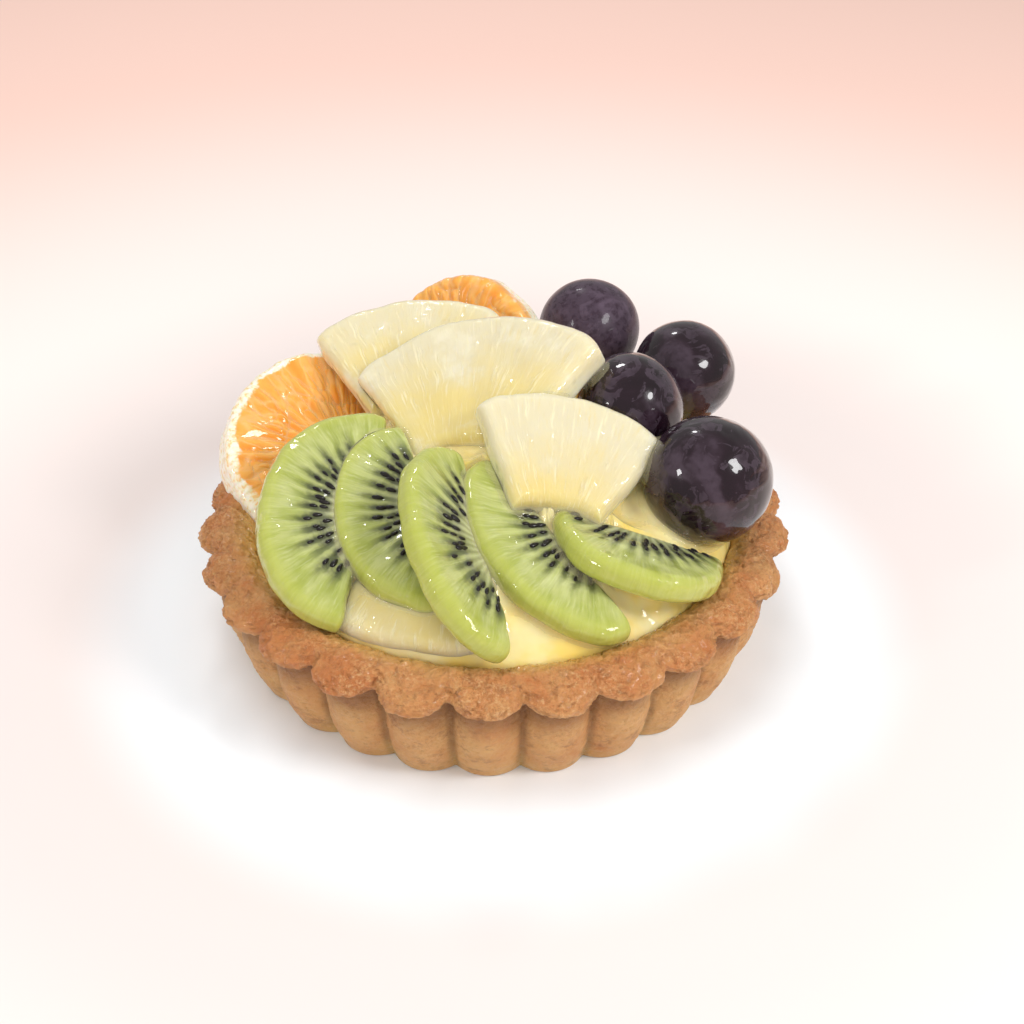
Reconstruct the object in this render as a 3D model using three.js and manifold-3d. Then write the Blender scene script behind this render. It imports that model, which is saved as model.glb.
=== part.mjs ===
// A fruit tart: a fluted shortcrust shell filled with a dome of custard and dressed with slices of
// kiwi, pineapple and orange and four dark grapes. Millimetres, +Z up. The origin is the middle of
// the flat underside of the crust, the front of the tart faces -Y, and +X is its right side.

import * as THREE from "three";
import { mergeVertices } from "three/addons/utils/BufferGeometryUtils.js";
import Module from "manifold-3d";

const wasm = await Module();
wasm.setup();

// Driving sizes of the crust, in millimetres. A flute's tip is its outermost line.
const LIP_RADIUS = 55;
const FOOT_RADIUS = 48.8;
const CREST_RADIUS = 48.6;
const WELL_RADIUS = 44.4;
const WELL_FOOT_RADIUS = 41.5;
const CRUST_HEIGHT = 23.6;
const LIP_HEIGHT = 20.8;
const FLOOR_THICKNESS = 4.5;
const FLUTES = 26;
const FLUTE_DEPTH = 3.3;
const FLUTE_STEPS = 8;
const FLUTE_FULLNESS = 2.1;
const FIRST_FLUTE_DEGREES = -187.7;

// How far a flute's lip strays outwards or up from its fellows, how much lower than a groove's lip
// every tip sags, and the height above which the wall follows that
const UNEVEN_OUT = 0.45;
const UNEVEN_SAG = 0.4;
const TIP_SAG = 0.5;
const SAG_ABOVE_HEIGHT = 14;

// Driving sizes of the filling and of the fruit
const CUSTARD_EDGE_HEIGHT = 21.4;
const CUSTARD_DOME_HEIGHT = 36.5;
const CUSTARD_SECTORS = 36;
const CUSTARD_RINGS = 5;
const DOME_FULLNESS = 0.8;
const KIWI = { thickness: 5, rounding: 0.9, cutBulge: 1.6 };
const ORANGE = { thickness: 8, rounding: 1.4, cutBulge: 3 };
const PINEAPPLE = { thickness: 6.5, rounding: 0.8, corner: 1.2 };
const GAP = 0.32;
const MERGE_DISTANCE = 1e-4;

const radians = THREE.MathUtils.degToRad;

// A repeatable draw between -1 and 1, so that the flutes are as uneven as hand-pressed dough
function makeDraw(seed) {
  let state = seed;
  return () => {
    state = (state * 16807) % 2147483647;
    return (state / 2147483647) * 2 - 1;
  };
}

const draw = makeDraw(2604);
const fluteUnevenness = Array.from({ length: FLUTES }, () => ({ out: draw(), droop: draw() }));

// Where an angle falls on the flutes: groove is 0 on a flute's tip and 1 in the groove beside it
function fluteAt(angle) {
  const count = ((angle - radians(FIRST_FLUTE_DEGREES)) / (2 * Math.PI)) * FLUTES;
  const nearest = Math.round(count);
  const across = 2 * Math.abs(count - nearest);
  const index = ((nearest % FLUTES) + FLUTES) % FLUTES;
  return { groove: across ** FLUTE_FULLNESS, uneven: fluteUnevenness[index] };
}

// The crust's section from the middle of its underside, up the fluted wall, over the rim and down
// into the well. Each station gives the radius over a flute's tip, the height, the depth of the
// groove as a share of the deepest, and how much of a flute's own unevenness shows there.
function crustStations() {
  return [
    { radius: 0, height: 0, groove: 0, uneven: 0 },
    { radius: FOOT_RADIUS - 1.5, height: 0, groove: 0.7, uneven: 0.3 },
    { radius: FOOT_RADIUS, height: 1.7, groove: 0.75, uneven: 0.4 },
    { radius: FOOT_RADIUS + 3, height: 10.5, groove: 0.82, uneven: 0.5 },
    { radius: LIP_RADIUS - 1.9, height: LIP_HEIGHT - 2.2, groove: 0.92, uneven: 0.6 },
    { radius: LIP_RADIUS - 0.5, height: LIP_HEIGHT - 1.3, groove: 1, uneven: 1 },
    { radius: LIP_RADIUS, height: LIP_HEIGHT, groove: 1, uneven: 1 },
    { radius: LIP_RADIUS - 1.4, height: LIP_HEIGHT + 1.6, groove: 0.9, uneven: 0.9 },
    { radius: LIP_RADIUS - 3.7, height: CRUST_HEIGHT - 0.4, groove: 0.5, uneven: 0.6 },
    { radius: CREST_RADIUS, height: CRUST_HEIGHT, groove: 0.15, uneven: 0.4 },
    { radius: WELL_RADIUS + 1.4, height: CRUST_HEIGHT - 0.9, groove: 0, uneven: 0.1 },
    { radius: WELL_RADIUS, height: CUSTARD_EDGE_HEIGHT - 0.3, groove: 0, uneven: 0 },
    { radius: WELL_FOOT_RADIUS, height: FLOOR_THICKNESS, groove: 0, uneven: 0 },
    { radius: 0, height: FLOOR_THICKNESS, groove: 0, uneven: 0 },
  ];
}

// A turned body whose section runs from axis to axis. Its first meridian lies at startDegrees.
function turnedGeometry(section, sectors, startDegrees) {
  const profile = section.map((station) => new THREE.Vector2(station.radius, station.height));
  const turned = new THREE.LatheGeometry(profile, sectors, radians(startDegrees + 90));
  turned.rotateX(Math.PI / 2);
  return turned;
}

function crustGeometry() {
  const stations = crustStations();
  const crust = turnedGeometry(stations, FLUTES * FLUTE_STEPS, FIRST_FLUTE_DEGREES);
  const positions = crust.attributes.position;
  for (let index = 0; index < positions.count; index += 1) {
    const station = stations[index % stations.length];
    const x = positions.getX(index);
    const y = positions.getY(index);
    if (station.radius > 0) {
      const flute = fluteAt(Math.atan2(y, x));
      const tip = 1 - flute.groove;
      const out = UNEVEN_OUT * flute.uneven.out * station.uneven * tip;
      const radius = station.radius - FLUTE_DEPTH * station.groove * flute.groove + out;
      const sag = (TIP_SAG * station.groove - UNEVEN_SAG * flute.uneven.droop * station.uneven) * tip;
      const height = station.height > SAG_ABOVE_HEIGHT ? station.height - sag : station.height;
      positions.setXYZ(index, (x / station.radius) * radius, (y / station.radius) * radius, height);
    }
  }
  return crust;
}

// The custard fills the well and rises in a dome, which carries the fruit
function custardGeometry() {
  const edge = WELL_RADIUS - GAP;
  const foot = WELL_FOOT_RADIUS - GAP;
  const section = [
    { radius: 0, height: FLOOR_THICKNESS + GAP },
    { radius: foot, height: FLOOR_THICKNESS + GAP },
    { radius: edge, height: CUSTARD_EDGE_HEIGHT - 0.4 },
  ];
  for (let ring = 1; ring <= CUSTARD_RINGS; ring += 1) {
    const inward = ring / CUSTARD_RINGS;
    const rise = Math.sin((inward * Math.PI) / 2) ** DOME_FULLNESS;
    const height = CUSTARD_EDGE_HEIGHT + (CUSTARD_DOME_HEIGHT - CUSTARD_EDGE_HEIGHT) * rise;
    section.push({ radius: edge * (1 - inward), height });
  }
  return turnedGeometry(section, CUSTARD_SECTORS, 0);
}

// A slab of the given outline with rounded edges. Its upper face is at height 0, and margin makes
// it that much larger on every side.
function slabGeometry(outlinePoints, thickness, rounding, margin) {
  const slab = new THREE.ExtrudeGeometry(new THREE.Shape(outlinePoints), {
    steps: 1,
    depth: thickness - 2 * rounding,
    bevelEnabled: true,
    bevelThickness: rounding + margin,
    bevelSize: rounding + margin,
    bevelOffset: -rounding,
    bevelSegments: 2,
  });
  slab.translate(0, 0, rounding - thickness);
  return slab;
}

// Half of a round slice. The cut edge lies along X and bulges a little, the arc rises along Y.
function halfSliceOutline(halfLength, rise, cutBulge) {
  const steps = 26;
  const points = [];
  for (let step = 0; step < steps; step += 1) {
    const angle = (step / steps) * 2 * Math.PI;
    const along = halfLength * Math.cos(angle);
    const cutEdge = -cutBulge * (1 - Math.abs(Math.cos(angle)) ** 5) ** 0.2;
    points.push(new THREE.Vector2(along, Math.sin(angle) >= 0 ? rise * Math.sin(angle) : cutEdge));
  }
  return points;
}

// A piece of a ring slice round the origin, with its middle along Y. The outer arc swells a little.
function ringPieceOutline(outer, inner, halfDegrees, swell) {
  const outerSteps = 16;
  const innerSteps = 7;
  const points = [];
  const add = (radius, degrees) => {
    const angle = radians(degrees);
    points.push(new THREE.Vector2(radius * Math.sin(angle), radius * Math.cos(angle)));
  };
  for (let step = 0; step <= outerSteps; step += 1) {
    const share = (2 * step) / outerSteps - 1;
    const corner = PINEAPPLE.corner * Math.abs(share) ** 12;
    add(outer + swell * Math.cos((share * Math.PI) / 2) - corner, -share * halfDegrees);
  }
  for (let step = 0; step <= innerSteps; step += 1) {
    add(inner, ((2 * step) / innerSteps - 1) * halfDegrees);
  }
  return points;
}

function kiwiGeometry(fruit, margin) {
  const outline = halfSliceOutline(fruit.halfLength, fruit.rise, KIWI.cutBulge);
  return slabGeometry(outline, KIWI.thickness, KIWI.rounding, margin);
}

function orangeGeometry(fruit, margin) {
  const outline = halfSliceOutline(fruit.halfLength, fruit.rise, ORANGE.cutBulge);
  return slabGeometry(outline, ORANGE.thickness, ORANGE.rounding, margin);
}

function pineappleGeometry(fruit, margin) {
  const outline = ringPieceOutline(fruit.outer, fruit.inner, fruit.halfDegrees, fruit.swell);
  return slabGeometry(outline, PINEAPPLE.thickness, PINEAPPLE.rounding, margin);
}

function grapeGeometry(fruit, margin) {
  const grape = new THREE.SphereGeometry(fruit.radius + margin, 16, 12);
  grape.scale(1, 1, fruit.stretch);
  return grape;
}

// Colour, roughness and metalness of each sort of piece
const finishes = {
  crust: new THREE.MeshStandardMaterial({ color: 0xc68d5c, roughness: 0.75, metalness: 0 }),
  custard: new THREE.MeshStandardMaterial({ color: 0xf3d36f, roughness: 0.25, metalness: 0 }),
  kiwi: new THREE.MeshStandardMaterial({ color: 0xa9c750, roughness: 0.3, metalness: 0 }),
  pineapple: new THREE.MeshStandardMaterial({ color: 0xf2e39a, roughness: 0.3, metalness: 0 }),
  orange: new THREE.MeshStandardMaterial({ color: 0xf3a048, roughness: 0.35, metalness: 0 }),
  grape: new THREE.MeshStandardMaterial({ color: 0x2a1a2e, roughness: 0.15, metalness: 0 }),
};

// The fruit from the lowest piece to the topmost. A slice is placed by a point on its upper face:
// the middle of a half slice's cut edge, or the centre of the ring that a piece was cut from. It
// is turned in its own plane by spin, then leans from level by lean, towards the compass angle
// towards (0 is +X, -90 the front). Where two pieces press on each other, the lower one gives way.
const FRUIT = [
  { name: "pineapple_4", make: pineappleGeometry, finish: "pineapple", at: [-1, 0, 39.3],
    lean: 18, towards: -110, spin: -90, outer: 46.7, inner: 27, halfDegrees: 18, swell: 0 },
  { name: "orange_2", make: orangeGeometry, finish: "orange", at: [-8.5, 36, 28.8],
    lean: 62, towards: -122, spin: 90, halfLength: 19, rise: 21 },
  { name: "orange_1", make: orangeGeometry, finish: "orange", at: [-28.1, 14.1, 24.6],
    lean: 34, towards: -46, spin: 100, halfLength: 24, rise: 24 },
  { name: "pineapple_1", make: pineappleGeometry, finish: "pineapple", at: [-15, -0.8, 32.4],
    lean: 21, towards: -104, spin: 106, outer: 39.6, inner: 16, halfDegrees: 29, swell: 1.8 },
  { name: "kiwi_1", make: kiwiGeometry, finish: "kiwi", at: [-23, -17.3, 33.5],
    lean: 26, towards: -42, spin: 128, halfLength: 23.4, rise: 17.3 },
  { name: "kiwi_2", make: kiwiGeometry, finish: "kiwi", at: [-11.9, -17.1, 34],
    lean: 16, towards: -68, spin: 175, halfLength: 21, rise: 15.7 },
  { name: "kiwi_3", make: kiwiGeometry, finish: "kiwi", at: [-1.5, -27.6, 34.2],
    lean: 42, towards: -7, spin: 116, halfLength: 21.8, rise: 15.2 },
  { name: "kiwi_4", make: kiwiGeometry, finish: "kiwi", at: [10.9, -24.5, 33.2],
    lean: 19, towards: -31, spin: 159, halfLength: 21.3, rise: 13.4 },
  { name: "kiwi_5", make: kiwiGeometry, finish: "kiwi", at: [26.1, -21.3, 31.6],
    lean: 21, towards: 29, spin: 147, halfLength: 15.6, rise: 15.7 },
  { name: "pineapple_2", make: pineappleGeometry, finish: "pineapple", at: [-6.8, -17.9, 34.2],
    lean: 27, towards: -132, spin: 123, outer: 41.8, inner: 15.4, halfDegrees: 36, swell: 2.4 },
  { name: "pineapple_3", make: pineappleGeometry, finish: "pineapple", at: [9.5, -34.9, 30.9],
    lean: 28, towards: -69, spin: 63, outer: 37.7, inner: 16.2, halfDegrees: 27.8, swell: 1.1 },
  { name: "grape_1", make: grapeGeometry, finish: "grape", at: [19.4, 45.4, 35],
    lean: 0, towards: 0, spin: 0, radius: 10.4, stretch: 1 },
  { name: "grape_2", make: grapeGeometry, finish: "grape", at: [37.6, 29.9, 34],
    lean: 0, towards: 0, spin: 0, radius: 10.2, stretch: 1 },
  { name: "grape_3", make: grapeGeometry, finish: "grape", at: [25.3, 9.8, 38],
    lean: 0, towards: 0, spin: 0, radius: 10.2, stretch: 1 },
  { name: "grape_4", make: grapeGeometry, finish: "grape", at: [38.3, -8.8, 34.4],
    lean: 0, towards: 0, spin: 0, radius: 11.6, stretch: 1 },
];

// Where a piece of fruit stands
function placement(fruit) {
  const turn = new THREE.Matrix4().makeRotationZ(radians(fruit.towards));
  turn.multiply(new THREE.Matrix4().makeRotationY(radians(fruit.lean)));
  turn.multiply(new THREE.Matrix4().makeRotationZ(radians(fruit.spin)));
  return turn.setPosition(...fruit.at);
}

// A solid for cutting, in the tart's own frame. At a pole a turned body's facets shrink to nothing,
// so those are dropped.
function solidOf(geometry, matrix = new THREE.Matrix4()) {
  const bare = geometry.clone();
  bare.deleteAttribute("normal");
  bare.deleteAttribute("uv");
  const merged = mergeVertices(bare, MERGE_DISTANCE).applyMatrix4(matrix);
  const corners = merged.index.array;
  const triangles = [];
  for (let first = 0; first < corners.length; first += 3) {
    const [a, b, c] = corners.slice(first, first + 3);
    if (a !== b && b !== c && c !== a) {
      triangles.push(a, b, c);
    }
  }
  return new wasm.Manifold(new wasm.Mesh({
    numProp: 3,
    vertProperties: new Float32Array(merged.attributes.position.array),
    triVerts: new Uint32Array(triangles),
  }));
}

// The largest body of a solid, since a press can leave a loose scrap
function largestBody(solid) {
  return solid.decompose().reduce((best, body) => (body.volume() > best.volume() ? body : best));
}

// A named mesh of a solid, whose own frame is set by the matrix
function meshOf(name, solid, finish, matrix = new THREE.Matrix4()) {
  const cut = solid.getMesh();
  const geometry = new THREE.BufferGeometry();
  geometry.setAttribute("position", new THREE.BufferAttribute(new Float32Array(cut.vertProperties), 3));
  geometry.setIndex(Array.from(cut.triVerts));
  geometry.applyMatrix4(matrix.clone().invert());
  geometry.computeVertexNormals();
  const mesh = new THREE.Mesh(geometry, finish);
  mesh.name = name;
  matrix.decompose(mesh.position, mesh.quaternion, mesh.scale);
  return mesh;
}

// Every piece gives way to the fruit that is laid on it later
function buildTart() {
  const tart = new THREE.Group();
  const presses = FRUIT.map((fruit) => solidOf(fruit.make(fruit, GAP), placement(fruit)));
  const pressedBy = (solid, from) => {
    return presses.slice(from).reduce((rest, press) => rest.subtract(press), solid);
  };
  const crust = pressedBy(solidOf(crustGeometry()), 0);
  const custard = pressedBy(solidOf(custardGeometry()), 0);
  tart.add(meshOf("crust", largestBody(crust), finishes.crust));
  tart.add(meshOf("custard", largestBody(custard), finishes.custard));
  FRUIT.forEach((fruit, index) => {
    const place = placement(fruit);
    const whole = solidOf(fruit.make(fruit, 0), place);
    const solid = largestBody(pressedBy(whole, index + 1));
    tart.add(meshOf(fruit.name, solid, finishes[fruit.finish], place));
  });
  return tart;
}

export default buildTart();
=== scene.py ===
# %% [markdown]
# # A glazed fruit tart
# A fluted shortcrust shell, 11 cm across, is filled with a dome of custard. Slices of kiwi,
# pineapple and orange and four dark grapes lie on the custard under a clear glaze. This lesson
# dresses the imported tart: every piece gets its fine form from a short rule, and its colour from
# nodes that follow the way the fruit grows.

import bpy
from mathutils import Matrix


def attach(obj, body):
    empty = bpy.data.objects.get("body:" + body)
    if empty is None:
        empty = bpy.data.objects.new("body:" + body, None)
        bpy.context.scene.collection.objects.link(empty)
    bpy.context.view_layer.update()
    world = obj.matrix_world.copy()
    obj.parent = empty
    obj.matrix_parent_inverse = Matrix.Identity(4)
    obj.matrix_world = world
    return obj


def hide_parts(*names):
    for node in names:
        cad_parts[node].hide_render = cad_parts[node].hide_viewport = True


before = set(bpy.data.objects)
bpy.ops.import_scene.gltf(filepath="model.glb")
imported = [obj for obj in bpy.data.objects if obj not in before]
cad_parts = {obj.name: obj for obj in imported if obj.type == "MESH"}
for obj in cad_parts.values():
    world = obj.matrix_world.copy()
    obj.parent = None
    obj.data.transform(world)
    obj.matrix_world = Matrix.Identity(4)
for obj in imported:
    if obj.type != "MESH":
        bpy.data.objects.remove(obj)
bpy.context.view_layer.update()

import math

import bpy
import numpy as np
from mathutils import Matrix, Vector
from mathutils.bvhtree import BVHTree

print("packed pieces:", len(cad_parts))

# %% [markdown]
# ## Driving sizes
# All sizes are in millimetres, and MM turns them into metres at the last step. A flute's tip is its
# outermost line. The fruit is listed from the lowest piece to the topmost, because each one presses
# into those below it. A slice is placed by the middle of a half slice's cut edge, or by the centre
# of the ring it was cut from, turned in its own plane by spin, then leant from level towards a
# compass angle.

# %% Driving sizes
MM = 0.001
LIP_RADIUS, FOOT_RADIUS, CREST_RADIUS = 55, 48.8, 48.6
WELL_RADIUS, WELL_FOOT_RADIUS = 44.4, 41.5
CRUST_HEIGHT, LIP_HEIGHT, FLOOR_THICKNESS = 23.6, 20.8, 4.5
FLUTES, FLUTE_DEPTH, FLUTE_FULLNESS, FIRST_FLUTE_DEGREES = 26, 3.3, 2.1, -187.7
STRAY, DROOP, TIP_SAG = 0.45, 0.4, 0.5  # how far a flute's tip strays out, droops and always hangs
CUSTARD_EDGE_HEIGHT, CUSTARD_DOME_HEIGHT, DOME_FULLNESS = 21.4, 36.5, 0.8
KIWI = dict(thickness=5, rounding=2.1, cut_bulge=1.6)
ORANGE = dict(thickness=8, rounding=2.0, cut_bulge=3)
PINEAPPLE = dict(thickness=6.5, rounding=2.2, corner=1.2)
PRESS_GAP = 0.05
SPACING = 0.45


def ring_cut(at, turn, outer, inner, half, swell, ripe=0.0):
    """A piece of a pineapple ring: its radii, half its angle, the swell of its arc, and its ripeness"""
    return dict(at=at, turn=turn, outer=outer, inner=inner, half=half, swell=swell, ripe=ripe)


def half_cut(at, turn, half_length, rise, **own):
    """A half slice: half its cut edge, the rise of its arc, and how far its seeds or pulp reach"""
    return dict(at=at, turn=turn, half_length=half_length, rise=rise, **own)


def grape(at, radius, bloom):
    """A whole grape, and how grey it looks: the grey wax the glaze has left on it, with painted sheen of the
    light from above
    """
    return dict(at=at, radius=radius, bloom=bloom)


FRUIT = {
    "pineapple_4": ring_cut((-1, 0, 39.3), (18, -110, -90), 46.7, 27, 18, 0, ripe=0.4),
    "orange_2": half_cut((-8.5, 36, 28.8), (62, -122, 90), 19, 21, pulp=1.02),
    "orange_1": half_cut((-28.1, 14.1, 24.6), (34, -46, 100), 24, 24, pulp=0.92),
    "pineapple_1": ring_cut((-15, -0.8, 32.4), (21, -104, 106), 39.6, 16, 29, 1.8),
    "kiwi_1": half_cut((-23, -17.3, 33.5), (26, -42, 128), 23.4, 17.3, seeds=8.2),
    "kiwi_2": half_cut((-11.9, -17.1, 34), (16, -68, 175), 21, 15.7, seeds=6.8),
    "kiwi_3": half_cut((-1.5, -27.6, 34.2), (42, -7, 116), 21.8, 15.2, seeds=7.2),
    "kiwi_4": half_cut((10.9, -24.5, 33.2), (19, -31, 159), 21.3, 13.4, seeds=3.2),
    "kiwi_5": half_cut((26.1, -21.3, 31.6), (21, 29, 147), 15.6, 15.7, seeds=5.0),
    "pineapple_2": ring_cut((-6.8, -17.9, 34.2), (27, -132, 123), 41.8, 15.4, 36, 2.4),
    "pineapple_3": ring_cut((9.5, -34.9, 30.9), (28, -69, 63), 37.7, 16.2, 27.8, 1.1, ripe=-0.3),
    "grape_1": grape((19.4, 45.4, 35), 10.4, 0.95),
    "grape_2": grape((37.6, 29.9, 34), 10.2, 0.35),
    "grape_3": grape((25.3, 9.8, 38), 10.2, 0.45),
    "grape_4": grape((38.3, -8.8, 34.4), 11.6, 0.4),
}
print("pieces of fruit:", len(FRUIT))

# %% [markdown]
# ## Working tools
# A tree is either a material or a Geometry Nodes group that is being written, one node a call.
# Each call gives back the node's socket, so a rule reads like a formula.

# %% Working tools: node trees
class Tree:
    """A node tree under construction. add() makes one node, joins or sets its inputs and returns an output"""

    def __init__(self, tree, prefix):
        self.tree, self.prefix = tree, prefix

    def add(self, kind, inputs=None, output=0, **settings):
        full = kind if kind.startswith(("Geometry", "Shader", "Function", "Node")) else self.prefix + kind
        node = self.tree.nodes.new(full)
        for key, value in settings.items():
            setattr(node, key, value)
        for key, value in (inputs or {}).items():
            if isinstance(value, bpy.types.NodeSocket):
                self.tree.links.new(value, node.inputs[key])
            else:
                node.inputs[key].default_value = value
        return node.outputs[output]

    def math(self, operation, first, second=0.0, third=None, clamp=False):
        inputs = {0: first, 1: second} if third is None else {0: first, 1: second, 2: third}
        return self.add("ShaderNodeMath", inputs, operation=operation, use_clamp=clamp)

    def plus(self, first, second):
        return self.math("ADD", first, second)

    def minus(self, first, second):
        return self.math("SUBTRACT", first, second)

    def times(self, first, *others):
        for other in others:
            first = self.math("MULTIPLY", first, other)
        return first

    def times_plus(self, first, second, third, clamp=False):
        return self.math("MULTIPLY_ADD", first, second, third, clamp)

    def larger(self, first, second):
        return self.math("MAXIMUM", first, second)

    def spread(self, value, low, high, to_low=0.0, to_high=1.0):
        """Value from low..high eased onto to_low..to_high, held at both ends"""
        inputs = {"Value": value, "From Min": low, "From Max": high, "To Min": to_low, "To Max": to_high}
        return self.add("ShaderNodeMapRange", inputs, interpolation_type="SMOOTHSTEP")

    def noise(self, vector, scale, detail=2.0, roughness=0.5, distortion=0.0, output=0):
        inputs = {"Vector": vector, "Scale": scale, "Detail": detail, "Roughness": roughness}
        return self.add("ShaderNodeTexNoise", {**inputs, "Distortion": distortion}, output=output)

    def curve(self, value, points):
        """A smooth curve through (x, y) points between 0 and 1"""
        socket = self.add("ShaderNodeFloatCurve", {"Value": value})
        mapping = socket.node.mapping
        line = mapping.curves[0]
        line.points[0].location, line.points[1].location = points[0], points[-1]
        for x, y in points[1:-1]:
            line.points.new(x, y)
        for point in line.points:
            point.handle_type = "AUTO_CLAMPED"
        mapping.update()
        return socket


# %% Working tools: looks
def colour(code):
    """Linear colour of a hex code"""
    parts = [int(code[k : k + 2], 16) / 255 for k in (0, 2, 4)]
    linear = [c / 12.92 if c <= 0.04045 else ((c + 0.055) / 1.055) ** 2.4 for c in parts]
    return (*linear, 1.0)


def node_group(name, inputs, result):
    """An empty Geometry Nodes tree with named inputs and one result"""
    group = bpy.data.node_groups.new(name, "GeometryNodeTree")
    for label, kind, value in inputs:
        socket = group.interface.new_socket(label, in_out="INPUT", socket_type="NodeSocket" + kind)
        if value is not None:
            socket.default_value = value
    group.interface.new_socket(result, in_out="OUTPUT", socket_type="NodeSocketGeometry")
    return group


class Look(Tree):
    """A material with its shader. set() gives the shader's own sockets their values, over() lays
    coats of colour on a base, each a share and a colour"""

    def __init__(self, name):
        self.material = bpy.data.materials.new(name)
        self.material.use_nodes = True
        super().__init__(self.material.node_tree, "ShaderNode")
        self.shader = self.tree.nodes["Principled BSDF"]

    def set(self, **values):
        for key, value in values.items():
            socket = self.shader.inputs[key.replace("_", " ")]
            if isinstance(value, bpy.types.NodeSocket):
                self.tree.links.new(value, socket)
            else:
                socket.default_value = value
        return self.material

    def mix(self, share, first, second):
        """A blend of two colours, each of them a socket or a hex code"""
        first, second = (colour(c) if isinstance(c, str) else c for c in (first, second))
        return self.add("Mix", {0: share, 6: first, 7: second}, output=2, data_type="RGBA")

    def over(self, base, *coats):
        for share, code in coats:
            base = self.mix(share, base, code)
        return base

    def where(self):
        return self.add("TexCoord", output="Object")

    def attribute(self, name):
        return self.add("Attribute", output="Vector", attribute_name=name)

    def attribute_value(self, name):
        return self.add("Attribute", output="Fac", attribute_name=name)

    def parts(self, vector):
        node = self.add("SeparateXYZ", {0: vector}).node
        return node.outputs[0], node.outputs[1], node.outputs[2]

    def vector(self, x, y=0.0, z=0.0):
        return self.add("CombineXYZ", {0: x, 1: y, 2: z})

    def bump(self, height, distance, strength=1.0):
        return self.add("Bump", {"Height": height, "Distance": distance * MM, "Strength": strength})


# %% Working tools: meshes
def add_object(name, data):
    thing = bpy.data.objects.new(name, data)
    bpy.context.collection.objects.link(thing)
    return thing


def add_piece(name, points, faces, material):
    """A smooth piece from points in millimetres"""
    mesh = bpy.data.meshes.new(name)
    mesh.from_pydata((np.asarray(points) * MM).tolist(), [], faces)
    mesh.materials.append(material)
    mesh.shade_smooth()
    return add_object(name, mesh)


def points_of(mesh):
    flat = np.empty(len(mesh.vertices) * 3)
    mesh.vertices.foreach_get("co", flat)
    return flat.reshape(-1, 3) / MM


def store(mesh, name, values):
    """Keeps a number or a vector for every point, for a node to read"""
    values = np.asarray(values, dtype=np.float32)
    kind, field = ("FLOAT", "value") if values.ndim == 1 else ("FLOAT_VECTOR", "vector")
    mesh.attributes.new(name, kind, "POINT").data.foreach_set(field, values.ravel())


def settle(piece):
    """Works out a piece's modifiers and keeps the result as its mesh"""
    graph = bpy.context.evaluated_depsgraph_get()
    mesh = bpy.data.meshes.new_from_object(piece.evaluated_get(graph))
    piece.modifiers.clear()
    piece.data = mesh


def search_tree(piece):
    """The piece's surface, ready for rays and nearest points"""
    return BVHTree.FromObject(piece, bpy.context.evaluated_depsgraph_get())


def skin_faces(count, rings, inside_out=False):
    """Faces over rings of count points each, closed by one point before them and one after them"""
    here = np.arange(count)
    after = (here + 1) % count
    end = 1 + count * rings
    faces = [(0, 1 + a, 1 + b) for a, b in zip(here, after)]
    for ring in range(rings - 1):
        first, second = 1 + ring * count, 1 + (ring + 1) * count
        faces += list(zip(first + here, second + here, second + after, first + after))
    faces += [(end, end - count + b, end - count + a) for a, b in zip(here, after)]
    faces = [tuple(map(int, face)) for face in faces]
    return [face[:1] + face[:0:-1] for face in faces] if inside_out else faces


def swell(points, wavelength, seed, waves=10):
    """A gentle wavy value between about -1 and 1 for each point, the same for the same seed"""
    rng = np.random.default_rng(seed)
    total = np.zeros(len(points))
    for _ in range(waves):
        direction = rng.normal(size=3)
        direction /= np.linalg.norm(direction)
        pace = 2 * np.pi / (wavelength * rng.uniform(0.7, 1.5))
        total += np.sin(points @ direction * pace + rng.uniform(0, 2 * np.pi))
    return total / math.sqrt(waves)


# %% [markdown]
# ## The crust
# Shortcrust is pressed into a fluted tin, so one section turned round the axis, with a groove every
# 360 / 26 degrees, gives its whole form. Geometry Nodes takes a sheet of points, bends it round
# the axis by that rule and lifts crags out of it. The 26 flute tips are the tree's input, and each
# one carries how far it strays from its fellows.

# %% Crust: the flute tips, each with its own unevenness
def flute_tips():
    state, draws = 2604, []
    for _ in range(2 * FLUTES):
        state = (state * 16807) % 2147483647
        draws.append(state / 2147483647 * 2 - 1)
    tips = bpy.data.meshes.new("flute_tips")
    angles = [math.radians(FIRST_FLUTE_DEGREES + 360 * k / FLUTES) for k in range(FLUTES)]
    tips.from_pydata([(math.cos(a) * LIP_RADIUS, math.sin(a) * LIP_RADIUS, 0) for a in angles], [], [])
    store(tips, "stray", draws[0::2])
    store(tips, "droop", draws[1::2])
    return tips


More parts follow.
